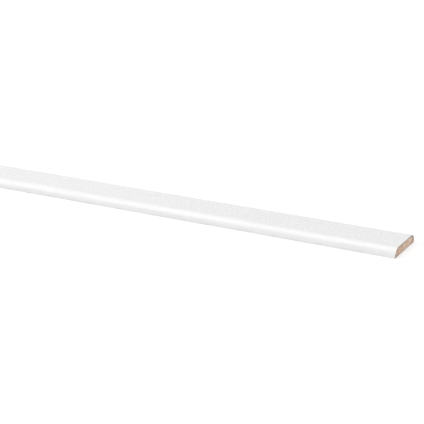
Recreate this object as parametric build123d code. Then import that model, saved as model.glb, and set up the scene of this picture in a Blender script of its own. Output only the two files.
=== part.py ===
from build123d import *
import os

# A flat cover strip that hides the joint between two surfaces.
# A moulded MDF core, rounded over along both long edges, is wrapped in white foil.
# The foil is folded under the back along each edge and leaves the middle of the back bare.
# The strip lies on its back: X runs along it, Y across it and Z up through it.
# The origin is the middle of the back, in the plane that the folded foil rests on.

# Driving dimensions, in millimetres, taken over the foil
length = 2400.0  # one full length, as it is sold
width = 28.0
thickness = 5.0
edge_land = 0.2  # upright flat left between the rounding and the foot
foot_radius = 0.4  # where each long edge turns under to the back
foil_thickness = 0.2
foil_lap = 6.0  # how far the foil reaches under the back, from each long edge

# The rounding takes the height that the land and the foot leave
edge_radius = thickness - foot_radius - edge_land
bare_width = width - 2 * foil_lap


def moulded_section(inset):
    """The cross-section of the strip, drawn that far inside the foil's outer face."""
    block = Rectangle(width - 2 * inset, thickness - 2 * inset)
    upright = Plane.YZ * Pos(0, thickness / 2) * block
    rounded = fillet(upright.vertices().group_by(Axis.Z)[-1], edge_radius - inset)
    return fillet(rounded.vertices().group_by(Axis.Z)[0], foot_radius - inset)


def foil_section():
    """The foil seen end on: over the face, round both edges and under the back."""
    gap = Plane.YZ * Pos(0, foil_thickness / 2) * Rectangle(bare_width, foil_thickness)
    return moulded_section(0) - moulded_section(foil_thickness) - gap


def full_length(section):
    """A section run out to both ends of the strip, with the ends sawn square."""
    return extrude(section, amount=length / 2, both=True)


pieces = {
    "mdf_core": full_length(moulded_section(foil_thickness)),
    "foil_wrap": full_length(foil_section()),
}

os.makedirs("parts", exist_ok=True)
for name, piece in pieces.items():
    export_step(piece, f"parts/{name}.step")
    print(name, "volume", round(piece.volume / 1000, 2), "cm3")
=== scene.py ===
# %% [markdown]
# # A white cover strip with its sawn end showing
# A cover strip is a thin moulding that hides the joint between two panels. This one is a
# fibreboard core, rounded along both long edges, with a white foil stretched over it and
# folded under the back. The saw has cut straight through both, so the end shows brown board
# with a dark glue line round it, inside the foil's own thin edge. There are only two pieces,
# so everything depends on the section, on how the light rolls over the rounding, and on the
# broken surface of the cut.

import math

import bpy
import numpy as np
from mathutils import Matrix, Vector


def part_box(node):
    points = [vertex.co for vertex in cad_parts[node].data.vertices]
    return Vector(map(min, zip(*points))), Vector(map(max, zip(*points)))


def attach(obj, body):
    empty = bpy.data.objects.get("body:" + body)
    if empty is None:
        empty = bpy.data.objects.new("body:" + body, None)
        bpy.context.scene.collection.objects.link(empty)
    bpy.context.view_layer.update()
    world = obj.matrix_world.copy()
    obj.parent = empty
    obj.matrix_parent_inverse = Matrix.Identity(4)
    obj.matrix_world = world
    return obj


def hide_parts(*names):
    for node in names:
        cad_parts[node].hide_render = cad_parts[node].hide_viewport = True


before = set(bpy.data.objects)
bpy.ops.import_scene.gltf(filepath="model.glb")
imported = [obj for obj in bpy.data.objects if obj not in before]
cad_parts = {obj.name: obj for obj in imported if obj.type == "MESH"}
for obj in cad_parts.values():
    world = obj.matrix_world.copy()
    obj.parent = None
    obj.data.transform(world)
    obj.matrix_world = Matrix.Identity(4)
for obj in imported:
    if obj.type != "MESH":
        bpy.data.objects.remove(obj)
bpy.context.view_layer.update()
MM = 0.001

# %% [markdown]
# ## Reading the section off the frame
# The frame already holds the real sizes, so the new surfaces read them from it. A flat ends
# where its rounding begins, so the widest point of the top tells the radius of the edges, and
# the widest point of the back tells the radius of the feet. The narrowest point of the back
# is where the foil's folded lap stops.

# %% Measure the section
NEAR = 0.001 * MM


def side_reach(node, height):
    """The least and the greatest distance from the middle line, of a node's points at one height."""
    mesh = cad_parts[node].data
    places = np.empty(len(mesh.vertices) * 3, np.float32)
    mesh.vertices.foreach_get("co", places)
    places = places.reshape(-1, 3).astype(float)
    level = np.abs(places[np.abs(places[:, 2] - height) < NEAR, 1])
    return level.min(), level.max()


foil_low, foil_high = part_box("foil_wrap")
core_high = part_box("mdf_core")[1]
HALF_LENGTH = foil_high.x
HALF_WIDTH = foil_high.y
THICKNESS = foil_high.z
FOIL = THICKNESS - core_high.z
EDGE_RADIUS = HALF_WIDTH - side_reach("foil_wrap", THICKNESS)[1]
LAP_EDGE, back_reach = side_reach("foil_wrap", foil_low.z)
FOOT_RADIUS = HALF_WIDTH - back_reach
print("foil", round(FOIL / MM, 3), "mm, edge radius", round(EDGE_RADIUS / MM, 3),
      "mm, foot radius", round(FOOT_RADIUS / MM, 3), "mm, bare back", round(2 * LAP_EDGE / MM, 2), "mm")

# %% [markdown]
# ## The line that the foil follows
# Seen end on, the foil is one line bent round the board: from the edge of a lap, out to the
# foot, up and over the rounding, across the face and down the other side. Straight runs and
# quarter circles are enough for it. The same line drawn a little further in gives the inner
# face of the foil. Both lines keep the same number of points, so that they can be joined
# point by point.

# %% Draw the wrap line
LAP_STEPS = 20
FOOT_STEPS = 8
EDGE_STEPS = 28
FACE_STEPS = 32


def front_half(inset):
    """Half the wrap line, drawn that far inside the outer face, as rows of y and z.
    The lap is straight. A quarter circle is its centre plus the radius times sine and cosine."""
    turn = np.linspace(0, np.pi / 2, FOOT_STEPS + 1)
    radius = FOOT_RADIUS - inset
    foot = np.stack([FOOT_RADIUS - HALF_WIDTH - radius * np.sin(turn),
                     FOOT_RADIUS - radius * np.cos(turn)], 1)
    turn = np.linspace(0, np.pi / 2, EDGE_STEPS + 1)
    radius = EDGE_RADIUS - inset
    edge = np.stack([EDGE_RADIUS - HALF_WIDTH - radius * np.cos(turn),
                     THICKNESS - EDGE_RADIUS + radius * np.sin(turn)], 1)
    lap = np.stack([np.linspace(-LAP_EDGE, foot[0, 0], LAP_STEPS + 1)[:-1],
                    np.full(LAP_STEPS, inset)], 1)
    face = np.stack([np.linspace(edge[-1, 0], 0, FACE_STEPS + 1)[1:],
                     np.full(FACE_STEPS, THICKNESS - inset)], 1)
    return np.concatenate([lap, foot, edge, face])


def wrap_line(inset):
    """The whole wrap line: the front half, then its mirror image in reverse order."""
    front = front_half(inset)
    return np.concatenate([front, front[-2::-1] * (-1, 1)])


outer_line = wrap_line(0)
inner_line = wrap_line(FOIL)
LINE_POINTS = len(outer_line)
wrap_length = np.linalg.norm(np.diff(outer_line, axis=0), axis=1).sum()
print("wrap line:", LINE_POINTS, "points,", round(wrap_length / MM, 1), "mm of foil across")

# %% [markdown]
# ## Turning arrays into a mesh
# Each piece is a ring of points carried along stations, with its two ends closed. Quads join
# each point to its neighbours, and every quad corner also gets a place on the piece's flat
# map, so the map is written in the same step as the shape. The map has a fixed name, which
# keeps it as it is when the finish is turned into pictures later.

# %% Join points into a mesh
MAP_NAME = "OFBake"


def grid_quads(numbers):
    """Quads between neighbours in a table of point numbers, turned so that rows cross columns."""
    return np.stack([numbers[:-1, :-1], numbers[1:, :-1],
                     numbers[1:, 1:], numbers[:-1, 1:]], -1).reshape(-1, 4)


def tube_quads(numbers):
    """The same for a tube, whose last column joins its first."""
    return grid_quads(np.concatenate([numbers, numbers[:, :1]], 1))


def make_piece(name, places, patches):
    """A mesh object from its points and its patches. A patch is its quads, the map place of
    each quad's corners, and the number of its finish."""
    quads = np.concatenate([patch[0] for patch in patches])
    corners = np.concatenate([patch[1].reshape(-1, 2) for patch in patches])
    finishes = np.concatenate([np.broadcast_to(patch[2], len(patch[0])) for patch in patches])
    mesh = bpy.data.meshes.new(name)
    mesh.vertices.add(len(places))
    mesh.vertices.foreach_set("co", places.astype(np.float32).ravel())
    mesh.loops.add(quads.size)
    mesh.loops.foreach_set("vertex_index", quads.astype(np.int32).ravel())
    mesh.polygons.add(len(quads))
    mesh.polygons.foreach_set("loop_start", np.arange(0, quads.size, 4, dtype=np.int32))
    mesh.polygons.foreach_set("material_index", finishes.astype(np.int32))
    mesh.polygons.foreach_set("use_smooth", np.ones(len(quads), bool))
    mesh.update(calc_edges=True)
    flat_map = mesh.uv_layers.new(name=MAP_NAME)
    flat_map.uv.foreach_set("vector", corners.astype(np.float32).ravel())
    mesh.validate()
    piece = bpy.data.objects.new(name, mesh)
    bpy.context.scene.collection.objects.link(piece)
    print(name, "has", len(places), "points and", 2 * len(quads), "triangles")
    return piece


def add_numbers(piece, name, values):
    """Stores one number for each point of a piece, which its finish can read by name."""
    piece.data.attributes.new(name, "FLOAT", "POINT").data.foreach_set("value", values.astype(np.float32))


print("every piece's flat map is called", MAP_NAME)

# %% [markdown]
# ## Laying a long thin piece out flat
# The strip is over eighty times longer than it is wide, and stretched over a square picture
# it would be all blur. So the flat map cuts it into lengths and stacks them like boards in a
# rack. What the eye can see gets most of each row, and hidden faces are squeezed.

# %% Rack the lengths
MARGIN = 0.006
HIDDEN_SHARE = 0.12


def stations_for(rows, steps, extra):
    """Places along the strip: evenly spaced in each row of the rack, and some more at each end,
    which extra gives as distances from the cut."""
    even = np.linspace(-HALF_LENGTH, HALF_LENGTH, rows * steps + 1)
    inward = HALF_LENGTH - np.array(extra)
    return np.sort(np.concatenate([even, inward, -inward]))


def share_along(ring, weights):
    """How far along a line of points each one lies, from 0 to 1. A step counts its length times
    its weight."""
    steps = np.linalg.norm(np.diff(ring, axis=0), axis=1) * weights
    return np.concatenate([[0], np.cumsum(steps)]) / steps.sum()


def quad_corners(left, right, low, up):
    """Map places of a quad's four corners, for whole arrays of quads."""
    left, right, low, up = np.broadcast_arrays(left, right, low, up)
    return np.stack([left, low, right, low, right, up, left, up], -1).reshape(-1, 4, 2)


def rack(stations, across, rows, top):
    """Map places for the quads of a tube, in rows that fill the map up to top. A place along
    the strip goes to the right within its row, and the share across the ring goes up."""
    length = 2 * HALF_LENGTH / rows
    middle = (stations[:-1] + stations[1:]) / 2
    row = ((middle + HALF_LENGTH) // length)[:, None]
    begin = row * length - HALF_LENGTH
    both_sides = np.stack([stations[:-1], stations[1:]])[..., None]
    along = MARGIN + (1 - 2 * MARGIN) * (both_sides - begin) / length
    height = top / rows
    up = height * row + MARGIN + (height - 2 * MARGIN) * across
    return quad_corners(along[0], along[1], up[:, :-1], up[:, 1:])


print("hidden faces take", HIDDEN_SHARE, "of their share of the map")

# %% [markdown]
# ## The foil
# On the real strip a machine pulls the foil round the board and rollers press it on. It was
# slit from a roll that wandered a little, so the edge of each lap wanders too, by a few
# tenths of a millimetre in long waves. A Solidify modifier could give the foil its wall, but
# it knows nothing of the cut, so both faces are drawn here and joined at the lap edges and at
# the ends. The saw leaves the cut edge slightly uneven, with its outer corner broken.

# %% Shape the foil
FOIL_ROWS = 7
FOIL_STEPS = 16
LIP = 0.1 * MM
BROKEN_CORNER = 0.02 * MM
RAGGED = 0.05 * MM
WAVES = ((0.83, 0.20 * MM), (0.37, 0.10 * MM), (0.19, 0.05 * MM))
REAR_SHIFT = 0.5


def wander(x, shift):
    """How far a lap's edge strays at each x: a sum of sines, one for each wave's length and height."""
    return sum(height * np.sin(2 * np.pi * (x + shift) / length) for length, height in WAVES)


def ragged(count, seed):
    """Random numbers from 0 to 1 round a ring, each the mean of three neighbours."""
    rough = np.random.default_rng(seed).random(count)
    return (rough + np.roll(rough, 1) + np.roll(rough, -1)) / 3


foil_stations = stations_for(FOIL_ROWS, FOIL_STEPS, [LIP])
foil_ring = np.concatenate([outer_line, inner_line[::-1]])
x = np.repeat(foil_stations[:, None], len(foil_ring), 1)
y, z = (np.repeat(side[None], len(foil_stations), 0) for side in foil_ring.T)
under = (foil_ring[:, 1] <= FOIL) & (np.abs(foil_ring[:, 0]) < back_reach)
share = np.where(under, (back_reach - np.abs(foil_ring[:, 0])) / (back_reach - LAP_EDGE), 0)
y += share * np.where(foil_ring[:, 0] < 0, wander(x, 0), wander(x, REAR_SHIFT))
broken_line = wrap_line(BROKEN_CORNER) - outer_line
for station, outward, seed in ((0, -1, 3), (-1, 1, 5)):
    x[station] -= outward * RAGGED * ragged(len(foil_ring), seed)
    y[station, :LINE_POINTS] += broken_line[:, 0]
    z[station, :LINE_POINTS] += broken_line[:, 1]
foil_places = np.stack([x, y, z], -1).reshape(-1, 3)
print(len(foil_stations), "stations, laps wander up to",
      round(float(np.abs(wander(foil_stations, 0)).max() / MM), 2), "mm")

# %% [markdown]
# The ring of points is carried along the strip as a tube, which gives the foil both its faces
# and the edges of its laps. At each end a strip of quads closes the wall between the two
# faces. These ends and the edges of the laps are cut through, so they get a finish of their
# own, and each end has its own band at the top of the map.

# %% Join the foil
FOIL_TOP = 0.95
CUT_BANDS = ((0.957, 0.972), (0.980, 0.995))
LAP_EDGE_WEIGHT = 2.0
FACE_FINISH, CUT_FINISH = 0, 1
SHARP_TURN = math.radians(30)
numbers = np.arange(x.size).reshape(x.shape)
outer, inner = numbers[:, :LINE_POINTS], numbers[:, LINE_POINTS:][:, ::-1]
weights = np.concatenate([np.ones(LINE_POINTS - 1), [LAP_EDGE_WEIGHT],
                          np.full(LINE_POINTS - 1, HIDDEN_SHARE), [LAP_EDGE_WEIGHT]])
across = share_along(np.concatenate([foil_ring, foil_ring[:1]]), weights)
side_finish = np.full((len(foil_stations) - 1, len(foil_ring)), FACE_FINISH)
side_finish[:, [LINE_POINTS - 1, -1]] = CUT_FINISH
along = MARGIN + (1 - 2 * MARGIN) * share_along(outer_line, 1)
patches = [(tube_quads(numbers), rack(foil_stations, across, FOIL_ROWS, FOIL_TOP), side_finish.ravel())]
for (low, up), first, second in zip(CUT_BANDS, (outer[0], inner[-1]), (inner[0], outer[-1])):
    patches.append((grid_quads(np.stack([first, second], 1)),
                    quad_corners(along[:-1], along[1:], low, up), CUT_FINISH))
wrapped_foil = make_piece("wrapped_foil", foil_places, patches)
wrapped_foil.data.set_sharp_from_angle(angle=SHARP_TURN)
inward = np.repeat([0.0, 1.0], LINE_POINTS)
add_numbers(wrapped_foil, "foil_depth", np.tile(inward, len(foil_stations)))
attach(wrapped_foil, "root")
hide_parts("foil_wrap")

# %% [markdown]
# ## The sawn board
# Fibreboard is wood fibre pressed with glue. A saw doesn't leave it smooth: the teeth leave
# faint curved ripples, fibres that lie flat in the board tear out in short streaks, and here
# and there a small pit stays. All of that is real height here, on a grid fine enough for it,
# so that the end still looks broken close up, in the mesh itself.

# %% Grid the end of the board
GRID_PITCH = 0.08 * MM
CORE_WIDTH = 2 * (HALF_WIDTH - FOIL)
CORE_HIGH = THICKNESS - FOIL
CORE_EDGE = EDGE_RADIUS - FOIL
CORE_FOOT = FOOT_RADIUS - FOIL


def quarter(distance, radius):
    """How far a quarter circle has fallen at a distance past its start, of at most its radius."""
    run = np.clip(distance, 0, radius)
    return radius - np.sqrt(radius ** 2 - run ** 2)


rounding_steps = round(np.pi / 2 * CORE_EDGE / GRID_PITCH)
flat_reach = CORE_WIDTH / 2 - CORE_EDGE
turn = np.linspace(0, np.pi / 2, rounding_steps + 1)[1:]
flat = np.linspace(-flat_reach, flat_reach, round(2 * flat_reach / GRID_PITCH) + 1)
columns = np.concatenate([-flat_reach - CORE_EDGE * np.sin(turn[::-1]), flat,
                          flat_reach + CORE_EDGE * np.sin(turn)])
rows = np.linspace(0, 1, round((CORE_HIGH - FOIL) / GRID_PITCH) + 1)
top_edge = CORE_HIGH - quarter(np.abs(columns) - flat_reach, CORE_EDGE)
bottom_edge = FOIL + quarter(np.abs(columns) - CORE_WIDTH / 2 + CORE_FOOT, CORE_FOOT)
end_y = np.repeat(columns[:, None], len(rows), 1)
end_z = bottom_edge[:, None] + (top_edge - bottom_edge)[:, None] * rows
print("end grid:", end_y.shape, "points")

# %% [markdown]
# Glue from the foil soaks into the outermost fibres and darkens them. The flat face of the
# board is dense and takes little. The roundings were milled into its looser middle, so there
# the glue goes about twice as deep, and the milling leaves the wood around them a shade
# darker. The laps are only tacked down, and the bare middle of the back has no glue at all.

# %% Measure the depth under the skin
FLAT_SOAK = 0.55 * MM
ROUND_SOAK = 1.15 * MM
LAP_SOAK = 0.25 * MM
GLUE_STRENGTH = 1.6
MILLED_SHADE = 0.16
MILLED_REACH = 3 * MM


def depth_below_face(y, z):
    """How deep a point of the section lies under the face: the distance down from the flat, or
    beside it the radius of the rounding less the distance from its centre."""
    past_edge = np.maximum(np.abs(y) - flat_reach, 0)
    above = np.maximum(z - CORE_HIGH + CORE_EDGE, 0)
    return np.clip(CORE_EDGE - np.hypot(past_edge, above), 0, CORE_HIGH - z)


def soaked(depth, soak):
    """How much glue there is at a depth, from 1 at the skin to 0 where it stops soaking in."""
    return np.clip(GLUE_STRENGTH * (1 - depth / soak), 0, 1)


face_depth = depth_below_face(end_y, end_z)
skin_depth = np.minimum(face_depth, end_z - FOIL)
outward = np.abs(end_y)
milled = MILLED_SHADE * np.clip((outward - flat_reach + MILLED_REACH) / MILLED_REACH, 0, 1)
face_soak = np.interp(outward, (flat_reach, CORE_WIDTH / 2), (FLAT_SOAK, ROUND_SOAK))
lap_glue = np.where(outward > LAP_EDGE, soaked(end_z - FOIL, LAP_SOAK), 0)
glue = np.maximum(np.maximum(milled, lap_glue), soaked(face_depth, face_soak))
print("deepest point", round(float(skin_depth.max() / MM), 2), "mm under the skin")

# %% [markdown]
# The torn fibres need a random surface, and they lie flat, so its bumps are longer across the
# board than through it. Blurring plain noise by different widths in the two directions gives
# that, and blurring it as waves does the whole end in one step.

# %% Make the noise of the fibres
NOISE_PITCH = 0.04 * MM


def fibre_noise(seed, across, through):
    """Random heights of spread 1 over the end, blurred by a bell curve of these widths: white
    noise in waves, each wave weakened by how fast it turns."""
    shape = (round(CORE_WIDTH / NOISE_PITCH), round(THICKNESS / NOISE_PITCH))
    waves = np.fft.fft2(np.random.default_rng(seed).standard_normal(shape))
    wave_y, wave_z = (2 * np.pi * np.fft.fftfreq(n, NOISE_PITCH) for n in shape)
    waves *= np.exp(-((wave_y[:, None] * across) ** 2 + (wave_z * through) ** 2) / 2)
    heights = np.fft.ifft2(waves).real
    return heights / heights.std()


def read_noise(noise, y, z):
    """The noise at points of the section, mixed from the four nearest heights."""
    spot_y = np.clip((y + CORE_WIDTH / 2) / NOISE_PITCH, 0, noise.shape[0] - 1.001)
    spot_z = np.clip(z / NOISE_PITCH, 0, noise.shape[1] - 1.001)
    left, low = spot_y.astype(int), spot_z.astype(int)
    right_share, up_share = spot_y - left, spot_z - low
    lower = noise[left, low] * (1 - right_share) + noise[left + 1, low] * right_share
    upper = noise[left, low + 1] * (1 - right_share) + noise[left + 1, low + 1] * right_share
    return lower * (1 - up_share) + upper * up_share


print("noise in steps of", NOISE_PITCH / MM, "mm")

# %% [markdown]
# The relief is a sum of simple layers. Each tooth of the saw moves on a circle, so the ripples
# are rings round its axle, far above the board. Two of those noises, a fine and a coarse one,
# make the torn streaks. The highest peaks of a third become pits, and the rim frays a little,
# where nothing backs the fibres.

# %% Work out the broken surface
SAW_RADIUS = 125 * MM
SAW_SIDE = 45 * MM
TOOTH_PITCH = 0.42 * MM
TOOTH_DEPTH = 0.012 * MM
STREAK_DEPTH = 0.03 * MM
PIT_DEPTH = 0.1 * MM
FRAY = 0.05 * MM
FRAY_WIDTH = 0.12 * MM
FINE_FIBRE = (0.16 * MM, 0.045 * MM)
COARSE_FIBRE = (0.5 * MM, 0.16 * MM)
PIT_SIZE = (0.09 * MM, 0.06 * MM)
PIT_LEVEL = 2.3
NEAR_CUT_SEED, FAR_CUT_SEED = 21, 11


def sawn_depth(seed):
    """How far each point of an end lies behind the cut: ripples as rings round the saw's axle,
    torn streaks that are coarser in the loose middle of the board, pits, and a frayed rim."""
    reach = np.hypot(end_y - SAW_SIDE, end_z - SAW_RADIUS)
    ripple = 0.5 + 0.5 * np.sin(2 * np.pi * reach / TOOTH_PITCH)
    looseness = 0.55 + 0.45 * np.sin(np.pi * (end_z - FOIL) / (CORE_HIGH - FOIL))
    fine = read_noise(fibre_noise(seed, *FINE_FIBRE), end_y, end_z)
    coarse = read_noise(fibre_noise(seed + 1, *COARSE_FIBRE), end_y, end_z)
    pits = read_noise(fibre_noise(seed + 2, *PIT_SIZE), end_y, end_z)
    depth = TOOTH_DEPTH * ripple + STREAK_DEPTH * looseness * (2 + 0.75 * fine + 0.5 * coarse)
    depth += PIT_DEPTH * np.clip(pits - PIT_LEVEL, 0, 1)
    depth += FRAY * np.exp(-skin_depth / FRAY_WIDTH)
    return np.maximum(depth, 0)


depths = [sawn_depth(FAR_CUT_SEED), sawn_depth(NEAR_CUT_SEED)]
print("cut surface between 0 and", round(float(depths[1].max() / MM), 3), "mm behind the cut")

# %% [markdown]
# Only the ends carry relief, so the long sides need few stations. The rim of each end is at
# the same time the first or last ring of the tube, so the sides and the ends share their
# points and no gap can open. On the map the bare back gets its full width, the sides that the
# foil hides are squeezed, and each end has a band of its own.

# %% Join the board
CORE_ROWS = 8
CORE_TOP = 0.64
END_BANDS = ((0.66, 0.825), (0.83, 0.995))
COLLARS = (0.5 * MM, 4 * MM)
UNDER_LAP = 1 * MM
SAWN_FINISH, SANDED_FINISH = 0, 1
core_stations = stations_for(CORE_ROWS, 1, COLLARS)
end_numbers = np.arange(end_y.size).reshape(end_y.shape)
rim = np.concatenate([end_numbers[::-1, 0], end_numbers[0, 1:], end_numbers[1:, -1],
                      end_numbers[-1, -2:0:-1]])
core_ring = np.stack([end_y.ravel(), end_z.ravel()], 1)[rim]
between = core_stations[1:-1]
side_places = np.concatenate([np.repeat(between, len(rim))[:, None],
                              np.tile(core_ring, (len(between), 1))], 1)
end_places = [np.stack([side * (HALF_LENGTH - depth), end_y, end_z], -1).reshape(-1, 3)
              for side, depth in zip((-1, 1), depths)]
side_numbers = 2 * end_y.size + np.arange(len(side_places)).reshape(len(between), -1)
numbers = np.concatenate([[rim], side_numbers, [rim + end_y.size]])
bare = (core_ring[:, 1] <= FOIL + NEAR) & (np.abs(core_ring[:, 0]) < LAP_EDGE + UNDER_LAP)
across = share_along(np.concatenate([core_ring, core_ring[:1]]), np.where(bare, 1, HIDDEN_SHARE))
patches = [(tube_quads(numbers), rack(core_stations, across, CORE_ROWS, CORE_TOP), SANDED_FINISH)]
map_y = MARGIN + (1 - 2 * MARGIN) * (0.5 + end_y.ravel() / CORE_WIDTH)
map_z = (end_z.ravel() - FOIL) / (CORE_HIGH - FOIL)
for table, across_map, (low, up), first in ((end_numbers[::-1], 1 - map_y, END_BANDS[0], 0),
                                            (end_numbers, map_y, END_BANDS[1], end_y.size)):
    quads = grid_quads(table)
    corners = np.stack([across_map, low + (up - low) * map_z], 1)[quads]
    patches.append((quads + first, corners, SAWN_FINISH))
sawn_core = make_piece("sawn_core", np.concatenate([*end_places, side_places]), patches)

# %% [markdown]
# Smooth shading would round off the rim of the cut, so the edges along it are marked as sharp.
# The glue and the depth behind the cut go into the mesh as numbers, and the finish of the
# sawn board reads them there by name.

# %% Mark the rim and store the depths
def sharpen(piece, rims):
    """Marks as sharp every edge that joins two points of a rim."""
    ends_of_edges = np.empty(2 * len(piece.data.edges), np.int32)
    piece.data.edges.foreach_get("vertices", ends_of_edges)
    sharp = np.isin(ends_of_edges, rims).reshape(-1, 2).all(1)
    piece.data.attributes.new("sharp_edge", "BOOLEAN", "EDGE").data.foreach_set("value", sharp)
    print(int(sharp.sum()), "sharp edges on", piece.name)


sharpen(sawn_core, np.concatenate([rim, rim + end_y.size]))
nothing = np.zeros(len(side_places))
add_numbers(sawn_core, "glue", np.concatenate([glue.ravel(), glue.ravel(), nothing]))
add_numbers(sawn_core, "cut_depth", np.concatenate([depths[0].ravel(), depths[1].ravel(), nothing]))
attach(sawn_core, "root")
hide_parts("mdf_core")

# %% [markdown]
# ## Finishes as small node graphs
# Every finish below starts from the place of a point in metres, so a pattern has its real
# scale and stays put when the strip is looked at from elsewhere. Three helpers keep the graphs
# short: one starts a finish, one fills a socket with a link or a value, and one adds any node
# with its settings and inputs.

# %% Wire up nodes
def start_finish(name):
    """A new material: itself, its node tree, its shader and the place of each point."""
    finish = bpy.data.materials.new(name)
    finish.use_nodes = True
    tree = finish.node_tree
    place = tree.nodes.new("ShaderNodeTexCoord").outputs["Object"]
    return finish, tree, tree.nodes["Principled BSDF"], place


def give(tree, socket, value):
    """Links a socket to another, or sets its number or colour."""
    if isinstance(value, bpy.types.NodeSocket):
        tree.links.new(value, socket)
    else:
        socket.default_value = value


def add_node(tree, kind, output, inputs, **settings):
    """Adds a node, applies its settings, gives each named input its value, and returns an output."""
    node = tree.nodes.new("ShaderNode" + kind)
    for name, value in settings.items():
        setattr(node, name, value)
    for name, value in inputs.items():
        give(tree, node.inputs[name], value)
    return node.outputs[output]


print("a finish starts from a principled shader and the place in metres")

# %% [markdown]
# Four more are the words that the finishes are written in. A noise is a cloudy number around
# 0.5. A ramp picks a stretch of it and eases it into another range. A mix turns such a number
# into a colour between two others, and a bump turns it into a bent normal.

# %% Mix colours and shape patterns
def mix_colours(tree, share, first, second):
    """A colour that goes from the first to the second as the share goes from 0 to 1."""
    node = tree.nodes.new("ShaderNodeMix")
    node.data_type = "RGBA"
    for number, value in ((0, share), (6, first), (7, second)):
        give(tree, node.inputs[number], value)
    return node.outputs[2]


def noise(tree, place, size, detail=2.0, stretch=(1, 1, 1)):
    """A cloudy pattern around 0.5, with patches of about this size in metres, drawn out by stretch."""
    scale = tuple(1 / (size * along) for along in stretch)
    scaled = add_node(tree, "Mapping", "Vector", {"Vector": place, "Scale": scale})
    return add_node(tree, "TexNoise", "Fac", {"Vector": scaled, "Scale": 1.0, "Detail": detail})


def ramp(tree, value, start, end, low=0.0, high=1.0):
    """Turns a number that goes from start to end into one that goes from low to high, eased."""
    return add_node(tree, "MapRange", "Result",
                    {"Value": value, "From Min": start, "From Max": end, "To Min": low, "To Max": high},
                    interpolation_type="SMOOTHSTEP")


def bump(tree, height, distance, normal=None):
    """A normal bent by a pattern whose full height is this distance in metres."""
    inputs = {"Height": height, "Distance": distance, "Strength": 1.0}
    if normal is not None:
        inputs["Normal"] = normal
    return add_node(tree, "Bump", "Normal", inputs)


print("patterns are sized in metres: a millimetre is", MM)

# %% [markdown]
# ## The white foil's finish
# The foil is a thin satin plastic. It copies the board below it very faintly, as soft dents
# about a hundredth of a millimetre deep and a few millimetres apart, and it has a fine grain
# of its own that spreads the highlight. Both are too shallow to be worth any geometry.

# %% Finish the foil's face
FOIL_WHITE = (0.845, 0.845, 0.841, 1)
FOIL_SHADE = (0.830, 0.830, 0.827, 1)
FOIL_ROUGHNESS = 0.26
FOIL_IOR = 1.60
CLOUD_SIZE = 14 * MM
DENT_SIZE = 3.2 * MM
DENT_HEIGHT = 0.025 * MM
GRAIN_SIZE = 0.35 * MM
GRAIN_HEIGHT = 0.004 * MM

face_finish, tree, shader, place = start_finish("white_foil_face")
clouds = ramp(tree, noise(tree, place, CLOUD_SIZE, 3.0, (3, 1, 1)), 0.35, 0.65)
give(tree, shader.inputs["Base Color"], mix_colours(tree, clouds, FOIL_WHITE, FOIL_SHADE))
grain = noise(tree, place, GRAIN_SIZE, 2.0)
give(tree, shader.inputs["Roughness"],
     ramp(tree, grain, 0.3, 0.7, FOIL_ROUGHNESS - 0.03, FOIL_ROUGHNESS + 0.04))
dents = bump(tree, noise(tree, place, DENT_SIZE, 1.0, (1.6, 1, 1)), DENT_HEIGHT)
give(tree, shader.inputs["Normal"], bump(tree, grain, GRAIN_HEIGHT, dents))
give(tree, shader.inputs["IOR"], FOIL_IOR)
wrapped_foil.data.materials.append(face_finish)
print(face_finish.name, "has", len(tree.nodes), "nodes")

# %% [markdown]
# Cut across, the foil is no wider than a fingernail is thick, and it hardly shows white. The
# saw drags glue and board dust over it, so only a hairline along its outer face stays clean.
# The laps lie flat under the board, next to the floor, and their cut is painted whiter there:
# painted light that lifts the contact shade.

# %% Finish the foil's cut edge
CUT_GREY = (0.32, 0.29, 0.26, 1)
CUT_BROWN = (0.26, 0.21, 0.17, 1)
WHITE_SHARE = 0.25
# How much whiter the laps' cut is painted next to the floor, as painted light against the contact shade.
LAP_WHITE = 0.6
DUST_SIZE = 0.25 * MM
TOOTH_MARK = 0.06 * MM
TOOTH_MARK_HEIGHT = 0.006 * MM

cut_finish, tree, shader, place = start_finish("foil_cut_edge")
dust = ramp(tree, noise(tree, place, DUST_SIZE, 3.0), 0.45, 0.7)
depth = add_node(tree, "Attribute", "Fac", {}, attribute_name="foil_depth")
height = add_node(tree, "SeparateXYZ", "Z", {"Vector": place})
hairline = ramp(tree, depth, 0.0, WHITE_SHARE, 0.8, 0.0)
# Whiter towards the floor: painted light that lifts the contact shade at the laps.
whiter_near_floor = ramp(tree, height, FOIL, 3 * FOIL, LAP_WHITE, 0.0)
white = add_node(tree, "Math", 0, {0: hairline, 1: whiter_near_floor}, operation="MAXIMUM")
colour = mix_colours(tree, white, mix_colours(tree, dust, CUT_GREY, CUT_BROWN), FOIL_WHITE)
give(tree, shader.inputs["Base Color"], colour)
give(tree, shader.inputs["Roughness"], ramp(tree, dust, 0.0, 1.0, 0.5, 0.8))
tooth_marks = noise(tree, place, TOOTH_MARK, 2.0, (1, 1, 4))
give(tree, shader.inputs["Normal"], bump(tree, tooth_marks, TOOTH_MARK_HEIGHT))
wrapped_foil.data.materials.append(cut_finish)
print(cut_finish.name, "has", len(tree.nodes), "nodes")

# %% [markdown]
# ## The board's finishes
# Where it is sawn, fibreboard is a warm tan made of many fibres, some pale and some nearly
# brown, lying flat in the board. The press packs it denser near its two faces, which darkens
# them, and so does the glue. Torn pits are painted darker, partly as dark fibre and partly
# as painted shade.

# %% Finish the sawn ends
TAN = (0.69, 0.51, 0.39, 1)
PALE_FIBRE = (0.81, 0.66, 0.54, 1)
BROWN_FIBRE = (0.49, 0.33, 0.235, 1)
GLUED = (0.28, 0.23, 0.19, 1)
DENSE_LAYER = 1.5 * MM
FIBRE_SIZE = 0.16 * MM
FIBRE_HEIGHT = 0.02 * MM
CLUMP_SIZE = 1.3 * MM
SPECK_SIZE = 0.11 * MM
# Cut depths over which the pits are painted darker, partly dark fibre and partly painted shade.
PIT_FIBRE_AND_SHADE_FROM, PIT_FIBRE_AND_SHADE_TO = 0.08 * MM, 0.18 * MM

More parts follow.
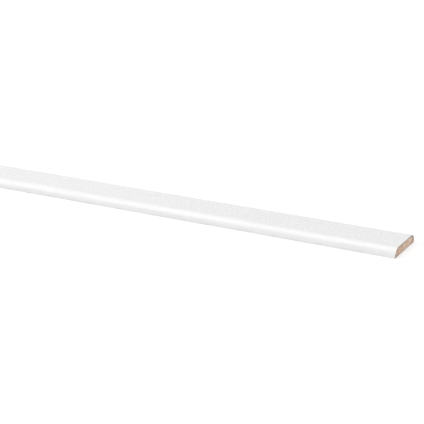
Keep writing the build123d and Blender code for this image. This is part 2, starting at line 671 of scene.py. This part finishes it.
sawn_finish, tree, shader, place = start_finish("sawn_board")
fibres = noise(tree, place, FIBRE_SIZE, 4.0, (4, 4, 1))
clumps = noise(tree, place, CLUMP_SIZE, 4.0, (2, 2, 1))
specks = noise(tree, place, SPECK_SIZE, 1.0, (2.5, 2.5, 1))
colour = mix_colours(tree, ramp(tree, fibres, 0.35, 0.70), BROWN_FIBRE, TAN)
colour = mix_colours(tree, ramp(tree, clumps, 0.44, 0.68, 0.0, 0.8), colour, PALE_FIBRE)
colour = mix_colours(tree, ramp(tree, clumps, 0.32, 0.50, 0.5, 0.0), colour, BROWN_FIBRE)
colour = mix_colours(tree, ramp(tree, specks, 0.62, 0.72, 0.0, 0.7), colour, BROWN_FIBRE)
height = add_node(tree, "SeparateXYZ", "Z", {"Vector": place})
middle = (CORE_HIGH + FOIL) / 2
above_middle = add_node(tree, "Math", 0, {0: height, 1: middle}, operation="SUBTRACT")
from_middle = add_node(tree, "Math", 0, {0: above_middle}, operation="ABSOLUTE")
to_face = (CORE_HIGH - FOIL) / 2
dense = ramp(tree, from_middle, to_face - DENSE_LAYER, to_face, 0.0, 0.35)
colour = mix_colours(tree, dense, colour, BROWN_FIBRE)
glued = add_node(tree, "Attribute", "Fac", {}, attribute_name="glue")
colour = mix_colours(tree, ramp(tree, glued, 0.0, 1.0, 0.0, 0.9), colour, GLUED)
# Deeper pits of the cut are painted darker: partly dark fibre, partly painted shade in the pits.
torn = add_node(tree, "Attribute", "Fac", {}, attribute_name="cut_depth")
colour = mix_colours(tree, ramp(tree, torn, PIT_FIBRE_AND_SHADE_FROM, PIT_FIBRE_AND_SHADE_TO, 0.0, 0.6), colour, BROWN_FIBRE)
give(tree, shader.inputs["Base Color"], colour)
give(tree, shader.inputs["Roughness"], ramp(tree, fibres, 0.3, 0.7, 0.95, 0.82))
give(tree, shader.inputs["Normal"], bump(tree, fibres, FIBRE_HEIGHT))
sawn_core.data.materials.append(sawn_finish)
print(sawn_finish.name, "has", len(tree.nodes), "nodes")

# %% [markdown]
# The bare middle of the back was never sawn but sanded in the factory. It is smoother and
# shows long fine scratches, which are a noise drawn out sixty times along the strip.

# %% Finish the sanded back
SANDED_TAN = (0.60, 0.43, 0.30, 1)
SANDED_PALE = (0.67, 0.50, 0.36, 1)
SANDED_BROWN = (0.50, 0.34, 0.23, 1)
FUZZ_SIZE = 0.5 * MM
FUZZ_HEIGHT = 0.01 * MM
SCRATCH_SIZE = 0.3 * MM
SCRATCH_HEIGHT = 0.02 * MM

sanded_finish, tree, shader, place = start_finish("sanded_board")
fuzz = noise(tree, place, FUZZ_SIZE, 4.0, (2, 2, 1))
scratches = noise(tree, place, SCRATCH_SIZE, 2.0, (60, 1, 1))
colour = mix_colours(tree, ramp(tree, fuzz, 0.35, 0.65), SANDED_TAN, SANDED_PALE)
colour = mix_colours(tree, ramp(tree, scratches, 0.55, 0.75, 0.0, 0.5), colour, SANDED_BROWN)
give(tree, shader.inputs["Base Color"], colour)
give(tree, shader.inputs["Roughness"], ramp(tree, scratches, 0.3, 0.7, 0.72, 0.85))
fuzzy = bump(tree, fuzz, FUZZ_HEIGHT)
give(tree, shader.inputs["Normal"], bump(tree, scratches, SCRATCH_HEIGHT, fuzzy))
sawn_core.data.materials.append(sanded_finish)
print("finishes:", [m.name for piece in (wrapped_foil, sawn_core) for m in piece.data.materials])

# %% [markdown]
# ## The floor
# A sheet that looks white to the camera, but adds no glow to the light on the strip, has to
# tell apart the rays that meet it. It also has to know which part of it the strip covers. Two
# helpers answer those questions as numbers in the node graph.

# %% Tell rays and places apart
def seen_directly(tree):
    """1 for rays from the camera, from a mirror-like surface or through glass, and 0 for the rest."""
    path = tree.nodes.new("ShaderNodeLightPath").outputs
    seen = path["Is Camera Ray"]
    for kind in ("Is Glossy Ray", "Is Transmission Ray"):
        seen = add_node(tree, "Math", 0, {0: seen, 1: path[kind]}, operation="MAXIMUM")
    return seen


def beyond_strip(tree, place):
    """How far a place on the floor lies outside the area that the strip's back covers, less than 0
    within it."""
    pair = tree.nodes.new("ShaderNodeSeparateXYZ")
    give(tree, pair.inputs[0], place)
    beyond = []
    for axis, half in (("X", HALF_LENGTH), ("Y", HALF_WIDTH - FOOT_RADIUS)):
        reach = add_node(tree, "Math", 0, {0: pair.outputs[axis]}, operation="ABSOLUTE")
        beyond.append(add_node(tree, "Math", 0, {0: reach, 1: half}, operation="SUBTRACT"))
    return add_node(tree, "Math", 0, {0: beyond[0], 1: beyond[1]}, operation="MAXIMUM")


print("the strip covers", round(4 * HALF_LENGTH * (HALF_WIDTH - FOOT_RADIUS), 4), "square metres of floor")

# %% [markdown]
# The strip lies on a white sheet. Part of the sheet's white is a glow that only the camera
# and mirror-like reflections see, so the sheet reads as plain white and still takes a soft
# shadow. The glow grows away from the strip, where the lamps reach less, and there is none
# under it, so the narrow gap below the board stays dark.

# %% Lay the floor
FLOOR_HALF = 4.0
FLOOR_DROP = 0.05 * MM
PAPER_WHITE = (0.90, 0.90, 0.90, 1)
PAPER_SEEN = (0.48, 0.48, 0.48, 1)
PAPER_GLOW = 0.58
FAR_GLOW = 1.0
FAR = 0.4
COVERED_RIM = 0.5 * MM

floor_finish, tree, shader, place = start_finish("white_sheet")
seen = seen_directly(tree)
beyond = beyond_strip(tree, place)
uncovered = ramp(tree, beyond, -COVERED_RIM, 0.0)
growing = ramp(tree, beyond, 0.0, FAR, PAPER_GLOW, FAR_GLOW)
glow = add_node(tree, "Math", 0, {0: uncovered, 1: growing}, operation="MULTIPLY")
shader.inputs["Roughness"].default_value = 1.0
shader.inputs["Specular IOR Level"].default_value = 0.0
shader.inputs["Emission Color"].default_value = (1, 1, 1, 1)
give(tree, shader.inputs["Base Color"], mix_colours(tree, seen, PAPER_WHITE, PAPER_SEEN))
give(tree, shader.inputs["Emission Strength"],
     add_node(tree, "Math", 0, {0: seen, 1: glow}, operation="MULTIPLY"))

sheet = bpy.data.meshes.new("floor_sheet")
sheet.from_pydata([(side * FLOOR_HALF, end * FLOOR_HALF, -FLOOR_DROP)
                   for side, end in ((-1, -1), (1, -1), (1, 1), (-1, 1))], [], [(0, 1, 2, 3)])
sheet.materials.append(floor_finish)
floor = bpy.data.objects.new("floor_sheet", sheet)
bpy.context.scene.collection.objects.link(floor)
print("floor", 2 * FLOOR_HALF, "m across")

# %% [markdown]
# ## The room
# The room is white wherever the camera or a reflection meets it, and otherwise gives only a
# gentle light from all sides, which keeps the shadows from going black.

# %% Light the room
ROOM_LIGHT = 0.12

room = bpy.data.worlds.new("white_room")
bpy.context.scene.world = room
room.use_nodes = True
tree = room.node_tree
strength = ramp(tree, seen_directly(tree), 0.0, 1.0, ROOM_LIGHT, 1.0)
background = tree.nodes["Background"]
background.inputs["Color"].default_value = (1, 1, 1, 1)
give(tree, background.inputs["Strength"], strength)
print("room light", ROOM_LIGHT)

# %% [markdown]
# ## The lamps
# Two long softboxes hang over the strip, a bright one in front of it and a weaker one behind.
# Each point of the rounding tilts a bit further than the one above it, so going down the
# rounding the eye sees the rear box mirrored, then the front box, then neither: that is the
# bright line, with its soft upper edge and its quick fall below. Seen from above, the front
# box is turned a little against the strip, so its mirror image narrows and climbs towards
# the sawn end, and the bright line with it. A broad panel from the front and the right fills
# the lower rounding, and a small one lights the sawn end. A third softbox hangs over the far
# half, which the camera doesn't see, so that the strip is lit alike along its whole length.

# %% Hang the lamps
def hang(name, place, aim, width, depth, radiance, turn=0):
    """A rectangular lamp that points from its place at aim, turned about its own axis. Its power
    is its brightness times its area times pi, because a flat lamp spreads its light over half a
    sphere."""
    light = bpy.data.lights.new(name, "AREA")
    light.shape = "RECTANGLE"
    light.size, light.size_y = width, depth
    light.energy = radiance * width * depth * math.pi
    lamp = bpy.data.objects.new(name, light)
    bpy.context.scene.collection.objects.link(lamp)
    lamp.visible_camera = False
    away = (Vector(place) - Vector(aim)).normalized()
    pointed = away.to_track_quat("Z", "Y").to_matrix().to_4x4()
    lamp.matrix_world = Matrix.Translation(place) @ pointed @ Matrix.Rotation(turn, 4, "Z")
    print(name, round(light.energy, 1), "W")


NEAR_END = (HALF_LENGTH - 0.15, 0, 0)
hang("front_softbox", (0.22, -0.56, 1.2), (0.22, -0.56, 0), 2.5, 1.3, 1.99, math.radians(21))
hang("rear_softbox", (0.6, 0.94, 1.2), (0.6, 0.94, 0), 2.4, 0.6, 1.1)
hang("far_softbox", (-1.35, -0.2, 1.2), (-1.35, -0.2, 0), 1.2, 1.2, 2.4)
hang("front_panel", (2.6, -1.6, 1.0), NEAR_END, 1.6, 1.6, 2.5)
hang("end_panel", (2.6, -0.1, 0.45), (HALF_LENGTH, 0, 0), 0.9, 0.6, 3.0)

# %% [markdown]
# ## The camera
# The view was worked out once, by moving the camera until the shades of a simple drawing of
# the strip, with its section held, fitted those of the whole picture. It is a long lens,
# tipped down and turned from the strip, with one corner of the sawn end held at a pixel. That
# pixel was then raised by 0.2 of a pixel, towards what a fit to the sawn end alone gave. From
# those few numbers the camera's place follows.

# %% Place the camera
PICTURE = 424
FOCAL_PIXELS = 1260.66
SENSOR = 36.0
TIP_DOWN = math.radians(18.902)
TURN = math.radians(28.236)
CORNER_PIXEL = (395.0, 258.9)
CORNER_DISTANCE = 0.63202
CORNER = Vector((HALF_LENGTH, -HALF_WIDTH, 0))

right = Vector((math.cos(TURN), math.sin(TURN), 0))
forward = Vector((-math.sin(TURN) * math.cos(TIP_DOWN), math.cos(TURN) * math.cos(TIP_DOWN),
                  -math.sin(TIP_DOWN)))
upward = right.cross(forward)
across_view = (CORNER_PIXEL[0] - PICTURE / 2) / FOCAL_PIXELS * CORNER_DISTANCE
down_view = (CORNER_PIXEL[1] - PICTURE / 2) / FOCAL_PIXELS * CORNER_DISTANCE
stand = CORNER - across_view * right + down_view * upward - CORNER_DISTANCE * forward
lens = bpy.data.cameras.new("camera")
lens.sensor_width = SENSOR
lens.lens = FOCAL_PIXELS * SENSOR / PICTURE
lens.clip_start = 0.01
camera = bpy.data.objects.new("camera", lens)
camera.matrix_world = Matrix.Translation(stand) @ Matrix((right, upward, -forward)).transposed().to_4x4()
bpy.context.scene.collection.objects.link(camera)
bpy.context.scene.camera = camera
bpy.context.scene.view_settings.view_transform = "Standard"
print("lens", round(lens.lens, 1), "mm, camera at", [round(v, 3) for v in stand])

# %% [markdown]
# ## Last update
# The view layer is updated once more, so that every piece's place is current. The new skin
# has to stay inside the box of the CAD model.

bpy.context.view_layer.update()
